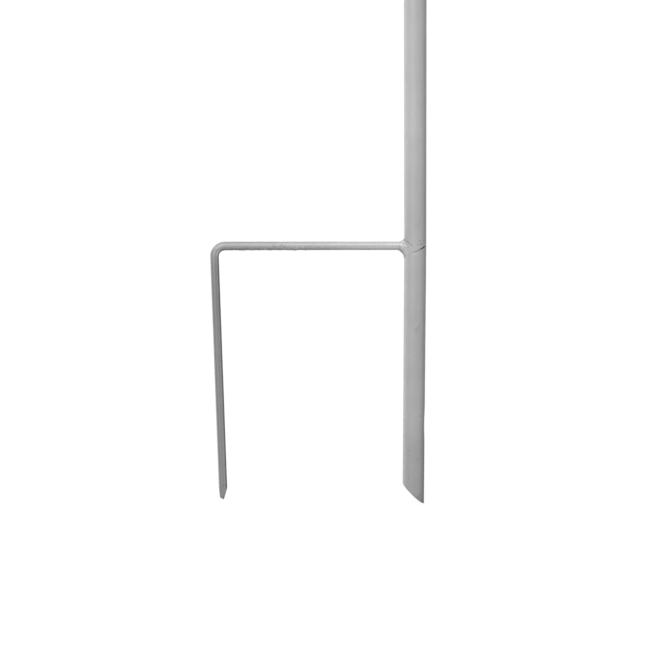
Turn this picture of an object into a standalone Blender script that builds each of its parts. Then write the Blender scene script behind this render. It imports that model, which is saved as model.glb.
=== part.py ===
"""Post anchor spike: a tubular post on a bevel-cut ground spike, with a bent step spur welded to its side.

Metres, +Z up the post. The origin is on the tube's axis at the ground line, level with the underside
of the step bar. The spur stands off towards -X and the spike's point is on the +X side.
"""

import math

import bmesh
import bpy
from mathutils import Matrix, Vector

# Post and spike tubes
TUBE_OUTER_DIAMETER = 0.025
TUBE_WALL = 0.002
POST_HEIGHT = 0.395
SPIKE_DEPTH = 0.301
SPIKE_BEVEL_ANGLE = math.radians(44)
SPIKE_LEAN = math.radians(0.45)
RIM_CHAMFER = 0.0003

# Sloping joint between the two tubes
JOINT_HEIGHT = 0.001
JOINT_SLOPE = math.radians(21)
JOINT_GAP = 0.0012

# Spigot hidden inside both tubes
SPIGOT_LENGTH = 0.080
SPIGOT_WALL = 0.0022

# Step spur, bent from round bar
BAR_DIAMETER = 0.010
SPUR_REACH = 0.228
SPUR_DEPTH = 0.296
SPUR_TOE_IN = math.radians(0.8)
BEND_RADIUS = 0.0125
POINT_LENGTH = 0.0129
POINT_INNER_ANGLE = math.radians(17.0)
POINT_OUTER_ANGLE = math.radians(5.6)
POINT_END_SLOPE = math.radians(24)

# Fillet weld round the end of the bar
WELD_LEG_ABOVE = 0.0050
WELD_LEG_BESIDE = 0.0092
WELD_LEG_BELOW = 0.0070
WELD_LEG_ON_BAR = 0.0062
WELD_TOE_THICKNESS = 0.0003
WELD_CONCAVITY = 0.16

# Seam weld in the joint between the tubes, measured from +X towards -Y
SEAM_WELD_START = math.radians(62)
SEAM_WELD_END = math.radians(338)

# Clearance between touching pieces
GAP = 0.0003

# Facets
TUBE_SIDES = 64
BAR_SIDES = 40
BEND_STEPS = 14
WELD_SECTIONS = 48
WELD_STEPS = 8
SMOOTH_BELOW = math.radians(32)

OUTER_RADIUS = TUBE_OUTER_DIAMETER / 2
INNER_RADIUS = OUTER_RADIUS - TUBE_WALL
BAR_RADIUS = BAR_DIAMETER / 2
SPIGOT_RADIUS = INNER_RADIUS - GAP
BAR_AXIS_HEIGHT = BAR_RADIUS
JOINT_CENTRE = Vector((0, 0, JOINT_HEIGHT))
JOINT_NORMAL = Vector((-math.sin(JOINT_SLOPE), 0, math.cos(JOINT_SLOPE)))
UP = Vector((0, 0, 1))
ACROSS = Vector((0, 1, 0))


def clear_scene():
    for obj in list(bpy.data.objects):
        bpy.data.objects.remove(obj, do_unlink=True)


def make_material(name, colour, roughness, metallic):
    material = bpy.data.materials.new(name)
    material.use_nodes = True
    shader = material.node_tree.nodes["Principled BSDF"]
    shader.inputs["Base Color"].default_value = (*colour, 1)
    shader.inputs["Roughness"].default_value = roughness
    shader.inputs["Metallic"].default_value = metallic
    material.diffuse_color = (*colour, 1)
    return material


def add_object(name, bm, material, placement):
    """Makes an object from world-space geometry, with its own axes at placement."""
    bmesh.ops.recalc_face_normals(bm, faces=bm.faces)
    mesh = bpy.data.meshes.new(name)
    bm.to_mesh(mesh)
    bm.free()
    mesh.transform(placement.inverted())
    mesh.materials.append(material)
    mesh.shade_smooth()
    mesh.set_sharp_from_angle(angle=SMOOTH_BELOW)
    obj = bpy.data.objects.new(name, mesh)
    obj.matrix_world = placement
    bpy.context.scene.collection.objects.link(obj)
    return obj


def chamfer_rims(obj, width):
    chamfer = obj.modifiers.new("rim_chamfer", "BEVEL")
    chamfer.width = width
    chamfer.segments = 1
    chamfer.limit_method = "ANGLE"
    chamfer.angle_limit = SMOOTH_BELOW


def tilted_placement(point, lean):
    """An object's axes at the point, with its Z axis leaning towards +X as it rises."""
    return Matrix.Translation(point) @ Matrix.Rotation(lean, 4, "Y")


def bridge(bm, first, second):
    """Quads between two closed loops of vertices."""
    for i in range(len(first)):
        following = (i + 1) % len(first)
        bm.faces.new((first[i], first[following], second[following], second[i]))


def ring_on_plane(bm, placement, radius, point, normal):
    """The loop where a plane cuts a cylinder about the placement's Z axis."""
    axis = placement.to_3x3() @ UP
    loop = []
    for i in range(TUBE_SIDES):
        angle = 2 * math.pi * i / TUBE_SIDES
        start = placement @ Vector((radius * math.cos(angle), radius * math.sin(angle), 0))
        travel = (point - start).dot(normal) / axis.dot(normal)
        loop.append(bm.verts.new(start + axis * travel))
    return loop


def tube_mesh(placement, outer, inner, top, bottom):
    """A tube about the placement's Z axis, cut off at two planes, each a point and a normal."""
    bm = bmesh.new()
    loops = [
        ring_on_plane(bm, placement, outer, *bottom),
        ring_on_plane(bm, placement, outer, *top),
        ring_on_plane(bm, placement, inner, *top),
        ring_on_plane(bm, placement, inner, *bottom),
    ]
    for i in range(len(loops)):
        bridge(bm, loops[i], loops[(i + 1) % len(loops)])
    return bm


def joint_plane(offset):
    """The sloping plane between the tubes, raised by offset."""
    return JOINT_CENTRE + UP * offset, JOINT_NORMAL


def make_post_tube(material):
    placement = Matrix.Translation(JOINT_CENTRE)
    top = (UP * POST_HEIGHT, UP)
    bm = tube_mesh(placement, OUTER_RADIUS, INNER_RADIUS, top, joint_plane(JOINT_GAP / 2))
    chamfer_rims(add_object("post_tube", bm, material, placement), RIM_CHAMFER)


def make_spike_tube(material):
    placement = tilted_placement(JOINT_CENTRE, SPIKE_LEAN)
    axis = placement.to_3x3() @ UP
    side = placement.to_3x3() @ Vector((1, 0, 0))
    lowest = JOINT_CENTRE - axis * (SPIKE_DEPTH + JOINT_HEIGHT) + side * OUTER_RADIUS
    bevel = side * math.sin(SPIKE_BEVEL_ANGLE) + axis * math.cos(SPIKE_BEVEL_ANGLE)
    bm = tube_mesh(
        placement, OUTER_RADIUS, INNER_RADIUS, joint_plane(-JOINT_GAP / 2), (lowest, bevel)
    )
    chamfer_rims(add_object("spike_tube", bm, material, placement), RIM_CHAMFER)


def make_joint_spigot(material):
    placement = tilted_placement(JOINT_CENTRE, SPIKE_LEAN / 2)
    axis = placement.to_3x3() @ UP
    half = axis * (SPIGOT_LENGTH / 2)
    ends = ((JOINT_CENTRE + half, axis), (JOINT_CENTRE - half, axis))
    bm = tube_mesh(placement, SPIGOT_RADIUS, SPIGOT_RADIUS - SPIGOT_WALL, *ends)
    chamfer_rims(add_object("joint_spigot", bm, material, placement), RIM_CHAMFER)


def spur_stations():
    """Points along the bar's centreline from the tube to the tip, each with the bar's direction there."""
    turn = math.pi / 2 + SPUR_TOE_IN
    tangent = BEND_RADIUS * math.tan(turn / 2)
    corner = Vector((-SPUR_REACH, 0, BAR_AXIS_HEIGHT))
    along_bar = Vector((-1, 0, 0))
    down_leg = Vector((math.sin(SPUR_TOE_IN), 0, -math.cos(SPUR_TOE_IN)))
    stations = [(Vector((-OUTER_RADIUS - GAP, 0, BAR_AXIS_HEIGHT)), along_bar)]
    centre = corner - along_bar * tangent - UP * BEND_RADIUS
    for i in range(BEND_STEPS + 1):
        angle = turn * i / BEND_STEPS
        outward = Vector((-math.sin(angle), 0, math.cos(angle)))
        direction = Vector((-math.cos(angle), 0, -math.sin(angle)))
        stations.append((centre + outward * BEND_RADIUS, direction))
    tip = corner + down_leg * ((SPUR_DEPTH + BAR_AXIS_HEIGHT) / math.cos(SPUR_TOE_IN))
    stations.append((tip - down_leg * (POINT_LENGTH + BAR_DIAMETER), down_leg))
    stations.append((tip, down_leg))
    return stations


def cut_end(bm, faces, point, outward):
    """Cuts the given faces at a plane, drops what lies outward of it and closes the cut."""
    edges = {edge for face in faces for edge in face.edges}
    verts = {vert for face in faces for vert in face.verts}
    cut = bmesh.ops.bisect_plane(
        bm,
        geom=[*verts, *edges, *faces],
        dist=1e-7,
        plane_co=point,
        plane_no=outward,
        clear_outer=True,
    )
    rim = [item for item in cut["geom_cut"] if isinstance(item, bmesh.types.BMEdge)]
    bmesh.ops.contextual_create(bm, geom=rim)


def make_step_spur(material):
    bm = bmesh.new()
    stations = spur_stations()
    loops = []
    for point, direction in stations:
        outward = ACROSS.cross(direction)
        loop = []
        for i in range(BAR_SIDES):
            angle = 2 * math.pi * (i + 0.5) / BAR_SIDES
            offset = outward * math.cos(angle) + ACROSS * math.sin(angle)
            loop.append(bm.verts.new(point + offset * BAR_RADIUS))
        loops.append(loop)
    for first, second in zip(loops, loops[1:]):
        bridge(bm, first, second)
    bm.faces.new(loops[0])
    bm.faces.new(loops[-1])
    shape_point(bm, *stations[-1])
    add_object("step_spur", bm, material, Matrix.Translation((0, 0, BAR_AXIS_HEIGHT)))


def shape_point(bm, tip, down_leg):
    """Shears the end of the leg to a blunt chisel: a long flat towards the tube, a short one outside."""
    towards_tube = down_leg.cross(ACROSS)
    shoulder = tip - down_leg * POINT_LENGTH
    flats = (
        (shoulder + towards_tube * BAR_RADIUS, towards_tube, POINT_INNER_ANGLE),
        (shoulder - towards_tube * BAR_RADIUS, -towards_tube, POINT_OUTER_ANGLE),
    )
    for point, side, angle in flats:
        outward = side * math.cos(angle) + down_leg * math.sin(angle)
        cut_end(bm, tip_faces(bm, shoulder, down_leg), point, outward)
    end = tip + towards_tube * (BAR_RADIUS - POINT_LENGTH * math.tan(POINT_INNER_ANGLE))
    slope = down_leg * math.cos(POINT_END_SLOPE) - towards_tube * math.sin(POINT_END_SLOPE)
    cut_end(bm, tip_faces(bm, shoulder, down_leg), end, slope)


def tip_faces(bm, shoulder, down_leg):
    """The faces that lie wholly below the station above the shoulder."""
    limit = -BAR_DIAMETER - GAP
    return [f for f in bm.faces if all((v.co - shoulder).dot(down_leg) > limit for v in f.verts)]


def on_tube(around, height, lift=0.0):
    """A point just off the tube's surface, by its distance round the tube from the bar's side."""
    seat = OUTER_RADIUS + GAP
    turn = around / seat
    return Vector((-(seat + lift) * math.cos(turn), (seat + lift) * math.sin(turn), height))


def weld_section(angle):
    """One slice of the fillet bead round the bar, from the bar's surface to the tube's and back to the root."""
    across, rise = math.cos(angle), math.sin(angle)
    base = BAR_RADIUS + GAP
    upright_leg = WELD_LEG_ABOVE if rise > 0 else WELD_LEG_BELOW
    leg = upright_leg * rise ** 2 + WELD_LEG_BESIDE * across ** 2
    root_around = (OUTER_RADIUS + GAP) * math.asin(base * across / (OUTER_RADIUS + GAP))
    root_height = BAR_AXIS_HEIGHT + base * rise
    root = on_tube(root_around, root_height)
    bar_side = root + Vector((-WELD_LEG_ON_BAR, 0, 0))
    bar_toe = bar_side + Vector((0, across, rise)) * WELD_TOE_THICKNESS
    tube_toe = on_tube(root_around + leg * across, root_height + leg * rise, WELD_TOE_THICKNESS)
    throat = root + ((bar_toe - root) + (tube_toe - root)) * WELD_CONCAVITY
    section = [bar_side]
    for i in range(WELD_STEPS + 1):
        t = i / WELD_STEPS
        section.append(bar_toe * (1 - t) ** 2 + throat * 2 * t * (1 - t) + tube_toe * t ** 2)
    for i in range(WELD_STEPS + 1):
        left = leg * (1 - i / WELD_STEPS)
        section.append(on_tube(root_around + left * across, root_height + left * rise))
    return section


def make_spur_fillet_weld(material):
    bm = bmesh.new()
    loops = []
    for i in range(WELD_SECTIONS):
        section = weld_section(2 * math.pi * i / WELD_SECTIONS)
        loops.append([bm.verts.new(point) for point in section])
    for i in range(WELD_SECTIONS):
        bridge(bm, loops[i], loops[(i + 1) % WELD_SECTIONS])
    placement = Matrix.Translation((-OUTER_RADIUS, 0, BAR_AXIS_HEIGHT))
    add_object("spur_fillet_weld", bm, material, placement)


def make_seam_weld(material):
    """The bead that fills the joint from the front round the spur's side to the back."""
    bm = bmesh.new()
    half = JOINT_GAP / 2 - GAP
    inner = INNER_RADIUS + GAP
    loops = []
    for i in range(TUBE_SIDES + 1):
        angle = SEAM_WELD_START + (SEAM_WELD_END - SEAM_WELD_START) * i / TUBE_SIDES
        loop = []
        for radius, lift in ((inner, -half), (OUTER_RADIUS, -half), (OUTER_RADIUS, half), (inner, half)):
            x = radius * math.cos(angle)
            height = JOINT_HEIGHT + x * math.tan(JOINT_SLOPE) + lift
            loop.append(bm.verts.new((x, -radius * math.sin(angle), height)))
        loops.append(loop)
    for first, second in zip(loops, loops[1:]):
        bridge(bm, first, second)
    bm.faces.new(loops[0])
    bm.faces.new(loops[-1])
    add_object("seam_weld", bm, material, Matrix.Translation(JOINT_CENTRE))


def main():
    clear_scene()
    coated_tube = make_material("tube_coating", (0.36, 0.36, 0.36), 0.55, 0.35)
    coated_spike = make_material("spike_coating", (0.34, 0.34, 0.34), 0.58, 0.35)
    coated_bar = make_material("bar_coating", (0.38, 0.38, 0.38), 0.52, 0.35)
    fillet = make_material("fillet_bead", (0.42, 0.42, 0.42), 0.5, 0.4)
    seam = make_material("seam_bead", (0.3, 0.3, 0.3), 0.6, 0.4)
    bare_steel = make_material("spigot_steel", (0.25, 0.25, 0.26), 0.45, 0.8)
    make_post_tube(coated_tube)
    make_spike_tube(coated_spike)
    make_joint_spigot(bare_steel)
    make_step_spur(coated_bar)
    make_spur_fillet_weld(fillet)
    make_seam_weld(seam)


main()
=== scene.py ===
"""Looks of the post anchor spike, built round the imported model. Metres, +Z up the post."""

import math

import bpy
import numpy as np
from mathutils import Matrix, Vector, noise


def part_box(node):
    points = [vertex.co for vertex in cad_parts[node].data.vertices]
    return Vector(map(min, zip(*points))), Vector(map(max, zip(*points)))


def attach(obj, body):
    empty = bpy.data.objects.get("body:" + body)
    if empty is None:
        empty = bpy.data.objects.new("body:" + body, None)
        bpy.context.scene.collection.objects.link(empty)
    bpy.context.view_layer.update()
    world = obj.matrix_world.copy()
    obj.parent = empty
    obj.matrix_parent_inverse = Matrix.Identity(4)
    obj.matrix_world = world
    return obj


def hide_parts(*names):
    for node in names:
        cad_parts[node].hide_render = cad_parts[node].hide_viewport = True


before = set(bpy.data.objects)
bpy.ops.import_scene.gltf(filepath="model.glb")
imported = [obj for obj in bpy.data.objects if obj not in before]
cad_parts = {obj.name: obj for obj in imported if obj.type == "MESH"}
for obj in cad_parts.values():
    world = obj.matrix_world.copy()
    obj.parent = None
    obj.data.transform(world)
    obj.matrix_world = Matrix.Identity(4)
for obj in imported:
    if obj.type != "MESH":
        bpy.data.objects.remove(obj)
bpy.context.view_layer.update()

# Sizes read from the frame
post_low, post_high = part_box("post_tube")
spike_low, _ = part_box("spike_tube")
spur_low, spur_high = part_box("step_spur")
TUBE_RADIUS = (post_high.y - post_low.y) / 2
BAR_RADIUS = (spur_high.y - spur_low.y) / 2
BAR_HEIGHT = spur_high.z - BAR_RADIUS
POST_TOP = post_high.z
SPIKE_TIP = spike_low.z
SPUR_TIP = spur_low.z

# Shapes that the frame's boxes don't give, as in the CAD model
TUBE_WALL = 0.002
INNER_RADIUS = TUBE_RADIUS - TUBE_WALL
SPIKE_LEAN = math.radians(0.45)
SPIKE_BEVEL = math.radians(44)
JOINT_HEIGHT = 0.001
JOINT_SLOPE = math.radians(21)
JOINT_GAP = 0.0012
SPUR_REACH = 0.228
SPUR_TOE_IN = math.radians(0.8)
BAR_GAP = 0.0003
BEND_RADIUS = 0.0125
POINT_LENGTH = 0.0129
POINT_FLATS = (math.radians(17.0), math.radians(5.6))
POINT_END_SLOPE = math.radians(24)
WELD_LEGS = {"above": 0.0050, "beside": 0.0100, "below": 0.0098, "bar": 0.0064}
WELD_TOE = 0.00030
WELD_THROAT = 0.17
WELD_RIPPLES = 25

# Room that the fine surface keeps inside the CAD box: the tubes and bar, and the beads' crowns
SKIN = 0.00003
BOX_ROOM = 0.00001

# Fineness of the surfaces: counts, and steps in metres. The point's fine steps begin a margin above it
TUBE_SIDES = 192
BORE_STEPS = 24
BAR_SIDES = 72
STEP_GROWTH = 0.06
BAR_STEP = 0.0010
BEND_STEPS = 24
LEG_STEP = 0.0014
POINT_STEP = 0.00035
POINT_MARGIN = 0.004
WELD_SECTIONS = 320
WELD_STEPS = 56
HIDDEN_STEPS = 7
SEAM_SECTIONS = 420
SEAM_STEPS = 24
BALL_RINGS = 9
BALL_SIDES = 14

# Rounding of the tubes' rims and of the leg's point
RIM_ROUND = 0.00035
POINT_ROUND = 0.00012

# Faint waviness of the surfaces
POST_WAVINESS = 0.00003
SPIKE_WAVINESS = 0.00004
SPUR_WAVINESS = 0.00003

# Metal melted rough above the joint, and a dent in the spike's right side
MELTED_DEPTH = 0.00016
MELTED_AROUND = math.radians(-58)
MELTED_HALF_TURN = math.radians(34)
MELTED_HEIGHTS = (0.002, 0.009)
DENT_DEPTH = 0.00055
DENT_AROUND = math.radians(-8)
DENT_HALF_TURN = math.radians(32)
DENT_HEIGHT = -0.205
DENT_HALF_HEIGHT = 0.014

# Lumps of coating under the step bar: height, and the distances from the post at which they begin and end
LUMP_HEIGHT = 0.00075
LUMPS_BEGIN = (0.095, 0.135)
LUMPS_END = (0.212, 0.222)
LUMPS_BELOW_AXIS = 0.0075

# The fillet bead: how deep it sits in the tube and the bar, and how far its toes wander
BEAD_IN_TUBE = 0.00025
BEAD_IN_BAR = 0.0003
BEAD_HIDDEN_DEPTH = 0.0006
TOE_OVERLAP = 0.00012
TOE_DEPTH = 0.0002
TUBE_TOE_WANDER = 0.0008
BAR_TOE_WANDER = 0.0006
BEAD_RIPPLE = 0.00020
BEAD_LUMPS = 0.00034
BEAD_GRAIN = 0.00012

# The seam bead: its run from the front right past the spur to the back, its depths and its open groove
SEAM_RUN = (math.radians(58), math.radians(340))
SEAM_TAPERS = (0.35, 0.2)
SEAM_HALF_WIDTH = JOINT_GAP / 2 + 0.0005
SEAM_ROOT_DEPTH = 0.0008
SEAM_OFF_BORE = 0.0004
SEAM_FILL = 0.00074
SEAM_CROWN = 0.00009
SEAM_LUMPS = 0.00007
GROOVE_DEPTH = 0.0012
GROOVE_MIDDLE = -0.62
GROOVE_HALF_WIDTH = 0.3
GROOVE_FADES = (math.radians(84), math.radians(112))

# Beads of spatter: degrees round from the right side towards the back, height, radius
SPATTER = (
    (-122, 0.0040, 0.00050),
    (-116, 0.0105, 0.00030),
    (-114, -0.0085, 0.00028),
    (-62, 0.0150, 0.00032),
    (-48, 0.0085, 0.00045),
    (-70, 0.0060, 0.00035),
    (-128, 0.0190, 0.00030),
    (140, 0.0120, 0.00040),
    (128, -0.0060, 0.00035),
)

# Camera
CAMERA_DISTANCE = 2.514
CAMERA_PITCH = math.radians(14.09)
CAMERA_TURN = math.radians(2.347)
CAMERA_HEIGHT = 0.5245
FOCAL_LENGTH = 122.0
SENSOR_WIDTH = 36.0
FARTHEST = 100.0

# Floor: its size, how far under the part it is, and how much it reflects and glows
FLOOR_SIZE = 400.0
FLOOR_GAP = 0.0005
FLOOR_BASE = 0.08
FLOOR_GLOW = 0.93

# Soft lights: degrees round from the front towards +X, degrees up, and strength
SOFT_LIGHTS = (
    (-30, 10, 1.78),
    (170, 10, 2.2),
    (-60, 55, 1.1),
    (-112, 33, 0.9),
    (0, 55, 1.6),
    (180, 55, 0.9),
    (-120, -35, 2.5),
    (0, -35, 0.6),
    (60, -35, 1.75),
)
LIGHT_FALLOFF = 6.0

# Changes along a piece: from, to, brightness up to the first and brightness past the second. Those on the
# post, down the spike and along the spur are painted light falloff, darker away from the lamp.
# Painted shade lies on the bead's underside, below a line that falls towards the post with the slope given
# last
POST_LIGHT_FALLOFF = (0.050, 0.150, 0.92, 1.01)
SPIKE_FALLOFF_TO_FOOT = (-0.245, -0.185, 0.83, 1.0)
SPIKE_FALLOFF_BELOW_JOINT = (-0.150, 0.0, 0.85, 0.905)
SPIKE_BY_CUT = (0.0004, 0.0030, 0.80, 1.0)
SPUR_FALLOFF_ALONG_BAR = (-0.203, -0.020, 0.70, 1.05)
SPUR_FALLOFF_DOWN_LEG = (-0.020, -0.002, 0.79, 1.0)
BEAD_UNDERSIDE_SHADE = (-0.0205, -0.0160, 0.60, 1.0)
BEAD_UNDERSIDE_SHADE_SLOPE = 1.3

# The cut's dark rim fades in across the foot, from left to right
CUT_RIM_ACROSS = (-0.006, 0.006)

# How far a mark's edge wanders, how fine the wandering is, and the shares of its size over which it fades in.
# MARK_DEPTH carries the mark through the piece
MARK_RAGGED = 0.0010
MARK_RAGGED_SCALE = 800
MARK_EDGE = (1.25, 0.45)
MARK_DEPTH = 1000

# Marks on the front: middle x and z, half length, half width, degrees that the length rises, brightness
POST_MARKS = (
    (0.0081, 0.1850, 0.0012, 0.0009, 0, 0.88),
    (0.0064, 0.1668, 0.0016, 0.0009, 30, 0.90),
    (0.0020, 0.0310, 0.0060, 0.0040, 60, 0.96),
    (0.0054, 0.0129, 0.0010, 0.0014, 90, 0.74),
    (0.0070, 0.0092, 0.0026, 0.0012, 30, 0.75),
    (0.0092, 0.0128, 0.0014, 0.0009, 20, 0.84),
    (0.0030, 0.0088, 0.0018, 0.0008, 10, 0.89),
    (0.0032, 0.0051, 0.0018, 0.0007, 8, 1.12),
    # The last two are painted shadow along the upper toe of the spur's bead.
    (-0.0086, 0.0112, 0.0030, 0.0008, -20, 0.72),
    (-0.0046, 0.0084, 0.0018, 0.0009, -50, 0.68),
)
SPIKE_MARKS = (
    (-0.0024, -0.0022, 0.0026, 0.0007, 4, 1.16),
    (0.0026, -0.0014, 0.0036, 0.0007, 8, 1.14),
    (-0.0030, 0.0000, 0.0016, 0.0006, 10, 0.74),
    (-0.0040, -0.0800, 0.0060, 0.0040, 80, 0.965),
    (0.0014, -0.0842, 0.0046, 0.0009, 50, 1.12),
    (0.0026, -0.0896, 0.0060, 0.0038, 60, 0.895),
    (0.0042, -0.0844, 0.0014, 0.0009, 60, 0.84),
    (0.0053, -0.1925, 0.0024, 0.0010, 90, 0.82),
    (-0.0066, -0.2338, 0.0030, 0.0007, 0, 0.87),
    (0.0042, -0.2286, 0.0014, 0.0012, 0, 1.10),
    (0.0020, -0.2438, 0.0020, 0.0014, 0, 0.90),
    (-0.0074, -0.2667, 0.0022, 0.0009, -50, 0.80),
    (-0.0044, -0.2669, 0.0020, 0.0009, -50, 1.08),
    (0.0040, -0.2895, 0.0040, 0.0026, 60, 0.86),
)
BEAD_MARKS = (
    # A painted highlight on the bead's front.
    (-0.0150, 0.0068, 0.0030, 0.0016, -6, 1.26),
    (-0.0140, 0.0104, 0.0016, 0.0012, 60, 1.15),
    # These two are painted shadow along the bead's upper toe.
    (-0.0104, 0.0118, 0.0036, 0.0010, -18, 0.66),
    (-0.0066, 0.0096, 0.0026, 0.0010, -38, 0.62),
    (-0.0108, 0.0064, 0.0022, 0.0012, -30, 1.22),
    (-0.0086, 0.0040, 0.0014, 0.0010, 0, 1.14),
    (-0.0120, 0.0030, 0.0016, 0.0009, 20, 0.86),
)
SPUR_MARKS = (
    # The first five are painted shade on the point's flats and shoulder.
    (-0.2212, -0.2790, 0.0034, 0.0013, -14, 0.80),
    (-0.2192, -0.2805, 0.0050, 0.0013, 88, 0.78),
    (-0.2206, -0.2890, 0.0068, 0.0014, 73, 0.72),
    (-0.2240, -0.2930, 0.0030, 0.0016, 10, 0.82),
    (-0.2265, -0.2844, 0.0052, 0.0012, 85, 0.90),
    # Painted light, bounced from the weld, on the underside of the bar by the post.
    (-0.0400, 0.0012, 0.0600, 0.0040, 0, 1.18),
    (-0.1600, 0.0060, 0.0014, 0.0010, 0, 0.80),
    (-0.1575, 0.0046, 0.0030, 0.0008, 10, 0.86),
    (-0.1508, 0.0064, 0.0026, 0.0011, 0, 0.80),
    (-0.1472, 0.0048, 0.0020, 0.0012, 0, 0.82),
    (-0.1917, 0.0056, 0.0014, 0.0009, 0, 0.80),
    (-0.1095, 0.0042, 0.0012, 0.0008, 0, 0.80),
    (-0.2256, 0.0008, 0.0016, 0.0010, 0, 0.80),
    # These three are painted shade on the inside of the bend.
    (-0.2150, 0.0009, 0.0040, 0.0011, 0, 0.70),
    (-0.2206, -0.0014, 0.0034, 0.0012, 52, 0.66),
    (-0.2230, -0.0070, 0.0050, 0.0010, 90, 0.78),
    # A painted highlight on the outside of the bend.
    (-0.2292, 0.0032, 0.0070, 0.0018, 48, 1.34),
)


# ---------------------------------------------------------------- meshes

def add_mesh(name, grid, close_rows=False, caps=False):
    """A mesh from grid[row][column], closed round each row. close_rows joins the last row to the first."""
    rows, columns = grid.shape[:2]
    index = np.arange(rows * columns).reshape(rows, columns)
    lower = index if close_rows else index[:-1]
    upper = np.roll(index, -1, axis=0) if close_rows else index[1:]
    faces = np.stack(
        [lower, np.roll(lower, -1, axis=1), np.roll(upper, -1, axis=1), upper], axis=-1
    ).reshape(-1, 4).tolist()
    if caps:
        faces.append(index[0][::-1].tolist())
        faces.append(index[-1].tolist())
    mesh = bpy.data.meshes.new(name)
    mesh.from_pydata(grid.reshape(-1, 3).tolist(), [], faces)
    mesh.validate()
    mesh.update()
    obj = bpy.data.objects.new(name, mesh)
    bpy.context.scene.collection.objects.link(obj)
    return obj


def face_out(obj):
    """Turns the faces so that the closed mesh's volume is positive."""
    mesh = obj.data
    mesh.calc_loop_triangles()
    points = np.empty(len(mesh.vertices) * 3, np.float32)
    mesh.vertices.foreach_get("co", points)
    corners = np.empty(len(mesh.loop_triangles) * 3, np.int32)
    mesh.loop_triangles.foreach_get("vertices", corners)
    triangles = points.reshape(-1, 3)[corners.reshape(-1, 3)].astype(float)
    volume = np.einsum("ij,ij->i", triangles[:, 0], np.cross(triangles[:, 1], triangles[:, 2])).sum()
    if volume < 0:
        mesh.flip_normals()


def finish_piece(obj, node, material):
    """Shades a piece smooth, gives it its material and puts it in the place of its CAD node."""
    face_out(obj)
    obj.data.shade_smooth()
    obj.data.set_sharp_from_angle(angle=math.radians(50))
    obj.data.materials.append(material)
    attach(obj, "root")
    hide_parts(node)


def rough(points, scale, seed, octaves=3):
    """Fractal noise from about -1 to 1 at each point, with features about 1 / scale metres across."""
    shift = Vector((seed * 7.31, seed * 3.17, seed * 5.93))
    flat = points.reshape(-1, 3)
    values = [
        noise.fractal(Vector(p) * scale + shift, 1.0, 2.0, octaves, noise_basis="PERLIN_ORIGINAL")
        for p in flat.tolist()
    ]
    return np.array(values).reshape(points.shape[:-1])


def smooth_step(x, low, high):
    t = np.clip((x - low) / (high - low), 0, 1)
    return t * t * (3 - 2 * t)


def bell(distance_squared):
    """1 in the middle, fading to nearly nothing at about twice the unit distance."""
    return np.exp(-distance_squared)


# ---------------------------------------------------------------- tubes

def joint_height(x):
    """Height of the sloping joint's middle at x."""
    return JOINT_HEIGHT + x * math.tan(JOINT_SLOPE)


def graded(at_bottom, at_top, coarse, length):
    """Shares of a length, in steps of at_bottom and at_top at its ends that grow to coarse between them."""
    places = [0.0]
    while places[-1] < length:
        from_end = length - places[-1]
        step = min(coarse, at_bottom + STEP_GROWTH * places[-1], at_top + STEP_GROWTH * from_end)
        places.append(places[-1] + step)
    places = np.array(places)
    return places / places[-1]


def tube_profile(grading):
    """The closed outline of a tube's wall: up the outside at the shares in grading, and down the bore.

    Each point is its radius, its share of the height, its distance past there, and how far it follows relief.
    """
    outer = TUBE_RADIUS - SKIN

    def rim(share, past):
        """From the outer wall over a rounded rim to the bore, at the top (past 1) or the bottom (-1)."""
        points = []
        for turn in (22.5, 45, 67.5, 90):
            t = math.radians(turn)
            radius = outer - RIM_ROUND * (1 - math.cos(t))
            points.append((radius, share, past * RIM_ROUND * math.sin(t), 1.0))
        for across in (0.33, 0.66):
            radius = outer - RIM_ROUND - across * (TUBE_WALL - 2 * RIM_ROUND)
            points.append((radius, share, past * RIM_ROUND, 0.3))
        for turn in (90, 45, 0):
            t = math.radians(turn)
            radius = INNER_RADIUS + RIM_ROUND * (1 - math.cos(t))
            points.append((radius, share, past * RIM_ROUND * math.sin(t), 0.0))
        return points

    wall = [(outer, share, 0.0, 1.0) for share in grading]
    bore = [(INNER_RADIUS, share, 0.0, 0.0) for share in np.linspace(0.96, 0.04, BORE_STEPS)]
    return wall + rim(1.0, 1) + bore + rim(0.0, -1)[::-1]


def tube_skin(name, lean, bottom, top, relief, grading):
    """A tube's whole surface: outer wall, rounded top rim, bore, rounded bottom rim.

    bottom and top give the height of each end at x, measured along the tube's own axis.
    relief gives the outward offset of the outer wall at (angle, height).
    """
    angle = np.linspace(0, 2 * np.pi, TUBE_SIDES, endpoint=False)
    profile = tube_profile(grading)
    grid = np.empty((len(profile), TUBE_SIDES, 3))
    for row, (radius, share, past_end, follows) in enumerate(profile):
        x = radius * np.cos(angle)
        y = radius * np.sin(angle)
        low = bottom(x) + RIM_ROUND
        high = top(x) - RIM_ROUND
        height = low + (high - low) * share + past_end
        if follows:
            grown = radius + follows * relief(angle, height)
            x = grown * np.cos(angle)
            y = grown * np.sin(angle)
        up = height - JOINT_HEIGHT
        grid[row, :, 0] = x * math.cos(lean) + up * math.sin(lean)
        grid[row, :, 1] = y
        grid[row, :, 2] = up * math.cos(lean) - x * math.sin(lean) + JOINT_HEIGHT
    return add_mesh(name, grid, close_rows=True)


def wall_points(angle, height):
    """Places on the tubes' outer wall, for noise to be read at."""
    return np.stack([TUBE_RADIUS * np.cos(angle), TUBE_RADIUS * np.sin(angle), height], axis=-1)


def turned_from(middle, angle):
    """The angle from middle, between half a turn either way."""
    return np.angle(np.exp(1j * (angle - middle)))


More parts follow.
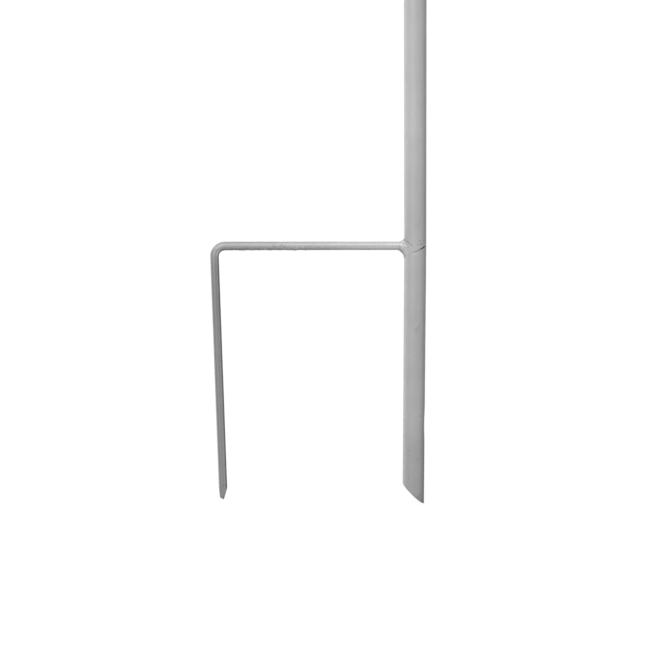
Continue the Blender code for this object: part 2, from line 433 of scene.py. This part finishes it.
def post_relief(angle, height):
    """Faint waviness, and metal melted rough at the front right above the joint."""
    points = wall_points(angle, height)
    offset = POST_WAVINESS * rough(points, 30, 1, 2)
    near_joint = 1 - smooth_step(height - joint_height(points[..., 0]), *MELTED_HEIGHTS)
    front_right = bell((turned_from(MELTED_AROUND, angle) / MELTED_HALF_TURN) ** 2)
    offset = offset + near_joint * front_right * MELTED_DEPTH * (rough(points, 520, 2, 3) - 0.1)
    return np.minimum(offset, SKIN)


def spike_relief(angle, height):
    """Faint waviness, and the dent in the right side."""
    points = wall_points(angle, height)
    offset = SPIKE_WAVINESS * rough(points, 26, 5, 2)
    around = turned_from(DENT_AROUND, angle) / DENT_HALF_TURN
    along = (height - DENT_HEIGHT) / DENT_HALF_HEIGHT
    offset = offset - DENT_DEPTH * bell(around ** 2 + along ** 2)
    return np.minimum(offset, SKIN)


def make_post_tube(material):
    def bottom(x):
        return joint_height(x) + JOINT_GAP / 2

    def top(x):
        return POST_TOP

    grading = graded(at_bottom=0.0004, at_top=0.0012, coarse=0.004, length=POST_TOP - JOINT_HEIGHT)
    tube = tube_skin("post_tube_skin", 0.0, bottom, top, post_relief, grading)
    finish_piece(tube, "post_tube", material)


def make_spike_tube(material):
    tip = SPIKE_TIP - JOINT_HEIGHT

    def bottom(x):
        return tip / math.cos(SPIKE_LEAN) + JOINT_HEIGHT + (TUBE_RADIUS - x) * math.tan(SPIKE_BEVEL)

    def top(x):
        return JOINT_HEIGHT + x * math.tan(JOINT_SLOPE - SPIKE_LEAN) - JOINT_GAP / 2

    grading = graded(at_bottom=0.0006, at_top=0.0004, coarse=0.0022, length=JOINT_HEIGHT - SPIKE_TIP)
    tube = tube_skin("spike_tube_skin", SPIKE_LEAN, bottom, top, spike_relief, grading)
    finish_piece(tube, "spike_tube", material)


# ---------------------------------------------------------------- step spur

def spur_path():
    """Points (x, z) and directions along the bar's centreline, closest together at the leg's point."""
    turn = math.pi / 2 + SPUR_TOE_IN
    bend_start = -SPUR_REACH + BEND_RADIUS * math.tan(turn / 2)
    points = []
    directions = []
    for x in np.arange(-TUBE_RADIUS - BAR_GAP, bend_start, -BAR_STEP):
        points.append((x, BAR_HEIGHT))
        directions.append((-1.0, 0.0))
    for i in range(BEND_STEPS + 1):
        angle = turn * i / BEND_STEPS
        below = BEND_RADIUS * (1 - math.cos(angle))
        points.append((bend_start - BEND_RADIUS * math.sin(angle), BAR_HEIGHT - below))
        directions.append((-math.cos(angle), -math.sin(angle)))
    leg_x, leg_z = points[-1]
    down = (math.sin(SPUR_TOE_IN), -math.cos(SPUR_TOE_IN))
    length = (leg_z - SPUR_TIP) / math.cos(SPUR_TOE_IN)
    along = 0.0
    while along < length:
        along += LEG_STEP if length - along > POINT_LENGTH + POINT_MARGIN else POINT_STEP
        points.append((leg_x + down[0] * along, leg_z + down[1] * along))
        directions.append(down)
    return np.array(points), np.array(directions)


def spur_relief(points, around):
    """Outward offset of the bar's surface: faint waviness, with lumps of coating under the step bar."""
    waves = SPUR_WAVINESS * rough(points, 40, 8, 2)
    under = smooth_step(-np.sin(around), -0.35, 0.35)
    x = points[..., 0]
    lumpy = smooth_step(-x, *LUMPS_BEGIN) * (1 - smooth_step(-x, *LUMPS_END))
    on_bar = points[..., 2] > BAR_HEIGHT - LUMPS_BELOW_AXIS
    lumps = np.clip(rough(points, 420, 9, 3) - 0.05, 0, 1)
    return waves + on_bar * under * lumpy * LUMP_HEIGHT * lumps


def shear_point(grid, tip, down):
    """Presses the end of the leg inside its flats and its blunt end, with slightly rounded edges."""
    inward = np.array([math.cos(SPUR_TOE_IN), 0, math.sin(SPUR_TOE_IN)])
    shoulder = tip - down * POINT_LENGTH
    inner, outer = POINT_FLATS
    end = tip + inward * (BAR_RADIUS - POINT_LENGTH * math.tan(inner))
    planes = (
        (shoulder + inward * BAR_RADIUS, inward * math.cos(inner) + down * math.sin(inner)),
        (shoulder - inward * BAR_RADIUS, -inward * math.cos(outer) + down * math.sin(outer)),
        (end, down * math.cos(POINT_END_SLOPE) - inward * math.sin(POINT_END_SLOPE)),
    )
    flat = grid.reshape(-1, 3)
    near = (flat - shoulder) @ down > -POINT_MARGIN
    points = flat[near]
    for _ in range(2):
        for point, outward in planes:
            past = (points - point) @ outward
            pressed = POINT_ROUND * np.logaddexp(0, past / POINT_ROUND)
            points = points - pressed[:, None] * outward
    flat[near] = points
    return flat.reshape(grid.shape)


def make_step_spur(material):
    path, heading = spur_path()
    around = np.linspace(0, 2 * np.pi, BAR_SIDES, endpoint=False)
    centres = np.stack([path[:, 0], np.zeros(len(path)), path[:, 1]], axis=-1)[:, None, :]
    normals = np.stack([
        heading[:, None, 1] * np.sin(around),
        np.broadcast_to(np.cos(around), (len(path), BAR_SIDES)),
        -heading[:, None, 0] * np.sin(around),
    ], axis=-1)
    radius = BAR_RADIUS - SKIN
    surface = centres + normals * radius
    relief = spur_relief(surface, np.broadcast_to(around, surface.shape[:2]))
    surface = surface + normals * relief[..., None]
    first, last = centres[0, 0], centres[-1, 0]
    start_cap = [first + normals[0] * radius * share for share in (0.5, 0.94)]
    end_cap = [last + normals[-1] * radius * share for share in (0.86, 0.7, 0.5, 0.3, 0.1)]
    grid = np.concatenate([start_cap, surface, end_cap])
    down = np.array([math.sin(SPUR_TOE_IN), 0, -math.cos(SPUR_TOE_IN)])
    grid = shear_point(grid, last, down)
    spur = add_mesh("step_spur_skin", grid, caps=True)
    finish_piece(spur, "step_spur", material)


# ---------------------------------------------------------------- welds

def keep_in_box(grid):
    """Keeps a bead's crown between the tube's front and back, which are the CAD box's."""
    limit = TUBE_RADIUS - BOX_ROOM
    grid[..., 1] = np.clip(grid[..., 1], -limit, limit)


def fillet_section(turn, tube_wander, bar_wander, t):
    """The bead's closed section at an angle round the bar: its face at shares t, then its hidden sides."""
    seat = TUBE_RADIUS - BEAD_IN_TUBE
    base = BAR_RADIUS - BEAD_IN_BAR
    across, rise = math.cos(turn), math.sin(turn)
    upright = WELD_LEGS["above"] if rise > 0 else WELD_LEGS["below"]
    leg = upright * rise ** 2 + WELD_LEGS["beside"] * across ** 4 + tube_wander
    leg_bar = WELD_LEGS["bar"] * (1.07 - 0.21 * rise) + bar_wander
    root_around = seat * math.asin(base * across / seat)

    def on_tube(reach, lift):
        """The place on the tube's wall at reach from the root, lifted outwards."""
        around = (root_around + reach * across) / seat
        height = BAR_HEIGHT + base * rise + reach * rise
        return np.stack([-(seat + lift) * np.cos(around), (seat + lift) * np.sin(around), height], axis=-1)

    root = on_tube(0.0, 0.0)
    bar_side = root - np.array([leg_bar, 0, 0])
    bar_toe = bar_side + np.array([0, across, rise]) * WELD_TOE
    tube_toe = on_tube(leg, WELD_TOE)
    throat = root + ((bar_toe - root) + (tube_toe - root)) * WELD_THROAT
    t = t[:, None]
    face = bar_toe * (1 - t) ** 2 + throat * (2 * t * (1 - t)) + tube_toe * t ** 2
    past_toe = on_tube(leg + TOE_OVERLAP, -TOE_DEPTH)
    in_tube = on_tube(leg * np.linspace(1, 0, HIDDEN_STEPS)[1:], -BEAD_HIDDEN_DEPTH)
    in_bar = np.stack([
        np.linspace(root[0], bar_side[0] - TOE_OVERLAP, HIDDEN_STEPS),
        np.full(HIDDEN_STEPS, across * (base - BEAD_HIDDEN_DEPTH)),
        np.full(HIDDEN_STEPS, BAR_HEIGHT + rise * (base - BEAD_HIDDEN_DEPTH)),
    ], axis=-1)
    return np.concatenate([face, [past_toe], in_tube, in_bar])


def make_fillet_weld(material):
    """The bead round the bar's end: concave, rippled along its run, with ragged raised toes."""
    angle = np.linspace(0, 2 * np.pi, WELD_SECTIONS, endpoint=False)
    circle = np.stack([np.cos(angle), np.sin(angle), np.zeros_like(angle)], axis=-1) * 0.01
    tube_wander = TUBE_TOE_WANDER * rough(circle, 260, 21, 3)
    bar_wander = BAR_TOE_WANDER * rough(circle, 220, 22, 3)
    t = np.linspace(0, 1, WELD_STEPS)
    grid = np.array([fillet_section(*section, t) for section in zip(angle, tube_wander, bar_wander)])
    face = grid[:, :WELD_STEPS]
    normal = np.cross(np.roll(face, -1, axis=0) - np.roll(face, 1, axis=0), np.gradient(face, axis=1))
    normal /= np.linalg.norm(normal, axis=-1, keepdims=True) + 1e-12
    centre = np.array([-TUBE_RADIUS - 0.002, 0, BAR_HEIGHT])
    if ((face - centre) * normal).sum() < 0:
        normal = -normal
    middle = np.sin(np.pi * t)[None, :]
    run = angle[:, None] + 0.12 * rough(circle, 160, 23, 2)[:, None]
    ripple = np.cos(WELD_RIPPLES * run - 2.6 * middle)
    relief = BEAD_RIPPLE * ripple * middle ** 0.5 + BEAD_LUMPS * rough(face, 400, 24, 3)
    face += normal * (relief + BEAD_GRAIN * rough(face, 900, 25, 2))[..., None]
    keep_in_box(grid)
    weld = add_mesh("spur_fillet_bead", grid, close_rows=True)
    finish_piece(weld, "spur_fillet_weld", material)


def make_seam_weld(material):
    """The dressed bead that fills the joint from the front round the spur's side to the back."""
    start, end = SEAM_RUN
    turn = np.linspace(start, end, SEAM_SECTIONS)
    across = np.linspace(-1, 1, SEAM_STEPS)
    start_taper, end_taper = SEAM_TAPERS
    taper = smooth_step(turn, start, start + start_taper) * (1 - smooth_step(turn, end - end_taper, end))
    groove = bell(((across - GROOVE_MIDDLE) / GROOVE_HALF_WIDTH) ** 2)
    back = INNER_RADIUS + SEAM_OFF_BORE
    grid = np.empty((SEAM_SECTIONS, SEAM_STEPS + 4, 3))
    for i, a in enumerate(turn):
        filled = (SEAM_FILL + SEAM_CROWN * (1 - across ** 2)) * taper[i]
        opened = GROOVE_DEPTH * (groove * (1 - smooth_step(a, *GROOVE_FADES)))
        radius = TUBE_RADIUS - SKIN - SEAM_ROOT_DEPTH + filled - opened
        x = radius * math.cos(a)
        z = joint_height(x) + across * SEAM_HALF_WIDTH
        grid[i, :SEAM_STEPS] = np.stack([x, -radius * math.sin(a), z], axis=-1)
        back_x = back * math.cos(a)
        for k, lift in enumerate((1, 0.4, -0.4, -1), SEAM_STEPS):
            grid[i, k] = (back_x, -back * math.sin(a), joint_height(back_x) + lift * SEAM_HALF_WIDTH)
    outer = grid[:, :SEAM_STEPS]
    lumps = SEAM_LUMPS * rough(outer, 600, 31, 3)
    flat = outer[..., :2]
    outer[..., :2] = flat * (1 + lumps[..., None] / np.linalg.norm(flat, axis=-1, keepdims=True))
    keep_in_box(grid)
    weld = add_mesh("seam_weld_bead", grid, caps=True)
    finish_piece(weld, "seam_weld", material)


def make_spatter(material):
    """Small beads of metal thrown from the weld, partly sunk in the tubes' walls."""
    tilt = np.linspace(0.12, math.pi - 0.12, BALL_RINGS)[:, None]
    spin = np.linspace(0, 2 * np.pi, BALL_SIDES, endpoint=False)[None, :]
    round_ball = np.stack([
        np.sin(tilt) * np.cos(spin), np.sin(tilt) * np.sin(spin), np.cos(tilt) * np.ones_like(spin)
    ], axis=-1)
    for number, (degrees, height, size) in enumerate(SPATTER, 1):
        angle = math.radians(degrees)
        radius = TUBE_RADIUS - SKIN - size * 0.35
        centre = np.array([radius * math.cos(angle), radius * math.sin(angle), height])
        ball = round_ball * (1 + 0.18 * rough(round_ball * 0.01, 150, 40 + number, 2))[..., None]
        bead = add_mesh(f"weld_spatter_{number}", centre + ball * size, caps=True)
        face_out(bead)
        bead.data.shade_smooth()
        bead.data.materials.append(material)
        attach(bead, "root")


# ---------------------------------------------------------------- materials

class Nodes:
    """Short hand for building the node tree of a material or of the world."""

    def __init__(self, owner, coordinates="Object"):
        owner.use_nodes = True
        self.owner = owner
        self.tree = owner.node_tree
        self.place = self.add("ShaderNodeTexCoord").outputs[coordinates]

    def link(self, value, socket):
        """Joins another node's output to an input, or sets the input to a plain value."""
        if isinstance(value, bpy.types.NodeSocket):
            self.tree.links.new(value, socket)
        else:
            socket.default_value = value

    def fill(self, node, inputs):
        """Links or sets a node's inputs, given by name or number."""
        for key, value in inputs.items():
            self.link(value, node.inputs[key])

    def add(self, kind, inputs=None, **settings):
        """A new node with its settings, then its inputs."""
        node = self.tree.nodes.new(kind)
        for name, value in settings.items():
            setattr(node, name, value)
        self.fill(node, inputs or {})
        return node

    def paint(self, inputs):
        """Fills the inputs of the material's own shader, and gives the material."""
        self.fill(self.tree.nodes["Principled BSDF"], inputs)
        return self.owner

    def math(self, operation, first, second):
        return self.add("ShaderNodeMath", {0: first, 1: second}, operation=operation).outputs[0]

    def times(self, first, second):
        return self.math("MULTIPLY", first, second)

    def vector_math(self, operation, *vectors):
        node = self.add("ShaderNodeVectorMath", dict(enumerate(vectors)), operation=operation)
        return node.outputs["Value" if operation in ("LENGTH", "DOT_PRODUCT") else "Vector"]

    def scaled(self, factors):
        return self.vector_math("MULTIPLY", self.place, factors)

    def axis(self, name):
        return self.add("ShaderNodeSeparateXYZ", {0: self.place}).outputs[name]

    def noise(self, scale, detail=3.0, vector=None, roughness=0.5, output="Fac"):
        inputs = {"Scale": scale, "Detail": detail, "Roughness": roughness, "Vector": vector or self.place}
        return self.add("ShaderNodeTexNoise", inputs).outputs[output]

    def ramp(self, value, low, high, at_low, at_high, curve="SMOOTHSTEP"):
        """at_low up to low, at_high past high, and a curve between. low may be the greater of the two."""
        if low > high:
            low, high, at_low, at_high = high, low, at_high, at_low
        inputs = {"Value": value, "From Min": low, "From Max": high, "To Min": at_low, "To Max": at_high}
        return self.add("ShaderNodeMapRange", inputs, interpolation_type=curve).outputs["Result"]

    def cloudy(self, scale, low, high, **noise):
        """Noise that wanders between low and high."""
        return self.ramp(self.noise(scale, **noise), 0.3, 0.7, low, high)

    def speckled(self, value, scale, size, patches, darkest):
        """value with small round dark specks, which keep to the patches."""
        cells = self.add("ShaderNodeTexVoronoi", {"Scale": scale, "Vector": self.place})
        spots = self.ramp(cells.outputs["Distance"], size, size * 0.5, 0.0, 1.0)
        return self.times(value, self.ramp(self.times(spots, patches), 0.0, 1.0, 1.0, darkest))

    def marked(self, value, marks):
        """value times the brightness of each mark, a soft ragged oval on the front of the piece."""
        ragged = self.noise(MARK_RAGGED_SCALE, 2.0, output="Color")
        moved = self.vector_math("MULTIPLY_ADD", ragged, (MARK_RAGGED,) * 3, self.place)
        centred = self.vector_math("SUBTRACT", moved, (MARK_RAGGED / 2,) * 3)
        front = self.ramp(self.axis("Y"), 0.0, -0.001, 0.0, 1.0)
        for x, z, half_length, half_width, rise, brightness in marks:
            oval = self.add("ShaderNodeMapping", {
                "Vector": centred,
                "Location": (x, 0, z),
                "Rotation": (0, -math.radians(rise), 0),
                "Scale": (half_length, MARK_DEPTH, half_width),
            }, vector_type="TEXTURE")
            distance = self.vector_math("LENGTH", oval.outputs["Vector"])
            inside = self.times(self.ramp(distance, *MARK_EDGE, 0.0, 1.0), front)
            value = self.times(value, self.ramp(inside, 0.0, 1.0, 1.0, brightness, "LINEAR"))
        return value

    def grey(self, value):
        channels = dict.fromkeys(("Red", "Green", "Blue"), value)
        return self.add("ShaderNodeCombineColor", channels).outputs["Color"]

    def uneven(self, height, strength, distance):
        """The shading direction of a surface with that height."""
        inputs = {"Strength": strength, "Distance": distance, "Height": height}
        return self.add("ShaderNodeBump", inputs).outputs["Normal"]


def coating(name, base, roughness, metallic, tone, depth):
    """Dull grey metal coating: cloudy, faintly streaked, with fine grain and a few dark specks.

    tone, made by a function of the node builder, multiplies the base over the piece: painted light falloff
    and painted shade, with marks.
    """
    n = Nodes(bpy.data.materials.new(name))
    clouds = n.cloudy(34, 0.975, 1.025)
    streaks = n.cloudy(1.0, 0.985, 1.015, vector=n.scaled((320, 320, 22)))
    grain = n.ramp(n.noise(1300, 2), 0.25, 0.75, 0.975, 1.025)
    value = n.times(n.times(clouds, streaks), n.times(grain, base))
    value = n.times(value, tone(n))
    value = n.speckled(value, 330, 0.16, n.ramp(n.noise(60, 1), 0.56, 0.66, 0.0, 1.0), 0.72)
    peel = n.math("ADD", n.noise(420, 2), n.times(n.noise(1500, 2), 0.4))
    return n.paint({
        "Base Color": n.grey(value),
        "Metallic": metallic,
        "Roughness": n.cloudy(150, roughness - 0.05, roughness + 0.06),
        "Specular IOR Level": 0.5,
        "Normal": n.uneven(peel, depth, 0.0002),
    })


def post_painted_shade_and_marks(n):
    """Painted light falloff: the post is a little darker near the joint and the welds, with the marks on its
    front.
    """
    return n.marked(n.ramp(n.axis("Z"), *POST_LIGHT_FALLOFF), POST_MARKS)


def spike_painted_shade_and_marks(n):
    """Painted light falloff: the spike's coating darkens towards its foot. It is darkest along the right side
    of the cut's rim.
    """
    along = n.times(n.ramp(n.axis("Z"), *SPIKE_FALLOFF_TO_FOOT), n.ramp(n.axis("Z"), *SPIKE_FALLOFF_BELOW_JOINT))
    cut = n.times(n.math("SUBTRACT", TUBE_RADIUS, n.axis("X")), math.tan(SPIKE_BEVEL))
    above_cut = n.math("SUBTRACT", n.axis("Z"), n.math("ADD", cut, SPIKE_TIP))
    rim = n.math("SUBTRACT", n.ramp(above_cut, *SPIKE_BY_CUT), 1.0)
    rim = n.math("ADD", n.times(rim, n.ramp(n.axis("X"), *CUT_RIM_ACROSS, 0.0, 1.0)), 1.0)
    return n.marked(n.times(along, rim), SPIKE_MARKS)


def spur_painted_shade_and_marks(n):
    """Painted light falloff: the spur is brightest by the post and darker along the bar and down the leg."""
    bar_falloff = n.ramp(n.axis("X"), *SPUR_FALLOFF_ALONG_BAR, "LINEAR")
    leg_falloff = n.ramp(n.axis("Z"), *SPUR_FALLOFF_DOWN_LEG)
    return n.marked(n.times(bar_falloff, leg_falloff), SPUR_MARKS)


def bead_painted_shade_and_marks(n):
    """Painted shade on the bead's underside, and the marks on its front, some of which are painted highlight
    and painted shadow.
    """
    height = n.math("ADD", n.axis("Z"), n.times(n.axis("X"), BEAD_UNDERSIDE_SHADE_SLOPE))
    return n.marked(n.ramp(height, *BEAD_UNDERSIDE_SHADE), BEAD_MARKS)


def weld_coating(name, base, tone=None):
    """Grimy weld metal with a rough surface and small dark pits."""
    n = Nodes(bpy.data.materials.new(name))
    value = n.times(n.cloudy(700, 0.80, 1.16, detail=4, roughness=0.65), base)
    if tone is not None:
        value = n.times(value, tone(n))
    value = n.speckled(value, 700, 0.2, n.ramp(n.noise(200, 1), 0.5, 0.6, 0.0, 1.0), 0.7)
    crust = n.math("ADD", n.noise(900, 4, roughness=0.6), n.times(n.noise(2400, 2), 0.4))
    return n.paint({
        "Base Color": n.grey(value),
        "Metallic": 0.25,
        "Roughness": n.cloudy(300, 0.42, 0.55),
        "Specular IOR Level": 0.5,
        "Normal": n.uneven(crust, 0.8, 0.0003),
    })


def drawn_steel(name):
    """Bare inner steel with lines drawn along it."""
    n = Nodes(bpy.data.materials.new(name))
    lines = n.cloudy(1.0, 0.17, 0.26, vector=n.scaled((2400, 2400, 60)))
    return n.paint({
        "Base Color": n.grey(lines),
        "Metallic": 0.8,
        "Roughness": n.cloudy(200, 0.42, 0.6),
        "Normal": n.uneven(lines, 0.3, 0.0002),
    })


# ---------------------------------------------------------------- studio

def make_floor():
    """A plain pale floor. Seen from underneath it is clear."""
    height = min(SPIKE_TIP, SPUR_TIP) - FLOOR_GAP
    bpy.ops.mesh.primitive_plane_add(size=FLOOR_SIZE, location=(0, 0, height))
    floor = bpy.context.object
    floor.name = "studio_floor"
    n = Nodes(bpy.data.materials.new("pale_floor"))
    floor.data.materials.append(n.paint({
        "Base Color": (FLOOR_BASE, FLOOR_BASE, FLOOR_BASE, 1),
        "Roughness": 0.9,
        "Specular IOR Level": 0.0,
        "Emission Color": (1, 1, 1, 1),
        "Emission Strength": FLOOR_GLOW,
    }))
    side = n.add("ShaderNodeMixShader", {
        "Fac": n.add("ShaderNodeNewGeometry").outputs["Backfacing"],
        1: n.tree.nodes["Principled BSDF"].outputs["BSDF"],
        2: n.add("ShaderNodeBsdfTransparent").outputs["BSDF"],
    })
    n.link(side.outputs["Shader"], n.tree.nodes["Material Output"].inputs["Surface"])
    floor.visible_diffuse = False
    floor.visible_glossy = False
    floor.visible_shadow = False


def make_light():
    """Soft lights round the object, each a wide patch of the world that fades out from its middle."""
    world = bpy.data.worlds.new("soft_studio")
    bpy.context.scene.world = world
    n = Nodes(world, "Generated")
    total = 0.0
    for azimuth, elevation, strength in SOFT_LIGHTS:
        turn, climb = math.radians(azimuth), math.radians(elevation)
        middle = (math.sin(turn) * math.cos(climb), -math.cos(turn) * math.cos(climb), math.sin(climb))
        facing = n.math("MAXIMUM", n.vector_math("DOT_PRODUCT", n.place, middle), 0.0)
        total = n.math("ADD", total, n.times(n.math("POWER", facing, LIGHT_FALLOFF), strength))
    n.fill(n.tree.nodes["Background"], {"Strength": total, "Color": (1, 1, 1, 1)})


def make_camera():
    """Stands in the plane of the post, tilted down, then turned about its own upright axis."""
    tilt, turn = CAMERA_PITCH, CAMERA_TURN
    ahead = Vector((0, math.cos(tilt), -math.sin(tilt)))
    upright = Vector((0, math.sin(tilt), math.cos(tilt)))
    right = Vector((1, 0, 0))
    view = ahead * math.cos(turn) - right * math.sin(turn)
    side = right * math.cos(turn) + ahead * math.sin(turn)
    data = bpy.data.cameras.new("camera")
    data.sensor_width = SENSOR_WIDTH
    data.lens = FOCAL_LENGTH
    data.clip_end = FARTHEST
    camera = bpy.data.objects.new("camera", data)
    bpy.context.scene.collection.objects.link(camera)
    camera.matrix_world = Matrix((
        (side.x, upright.x, -view.x, 0),
        (side.y, upright.y, -view.y, -CAMERA_DISTANCE * math.cos(tilt)),
        (side.z, upright.z, -view.z, CAMERA_HEIGHT),
        (0, 0, 0, 1),
    ))
    bpy.context.scene.camera = camera


def main():
    bpy.context.scene.view_settings.view_transform = "Standard"
    make_camera()
    make_light()
    make_floor()
    make_post_tube(coating("post_coating_grey", 0.46, 0.50, 0.3, post_painted_shade_and_marks, 0.22))
    make_spike_tube(coating("spike_coating_grey", 0.46, 0.52, 0.3, spike_painted_shade_and_marks, 0.22))
    make_step_spur(coating("bar_coating_grey", 0.46, 0.32, 0.58, spur_painted_shade_and_marks, 0.32))
    bead = weld_coating("fillet_bead_grey", 0.5, bead_painted_shade_and_marks)
    make_fillet_weld(bead)
    make_seam_weld(weld_coating("seam_bead_grey", 0.42))
    make_spatter(bead)
    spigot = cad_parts["joint_spigot"]
    spigot.data.materials.clear()
    spigot.data.materials.append(drawn_steel("spigot_drawn_steel"))


main()
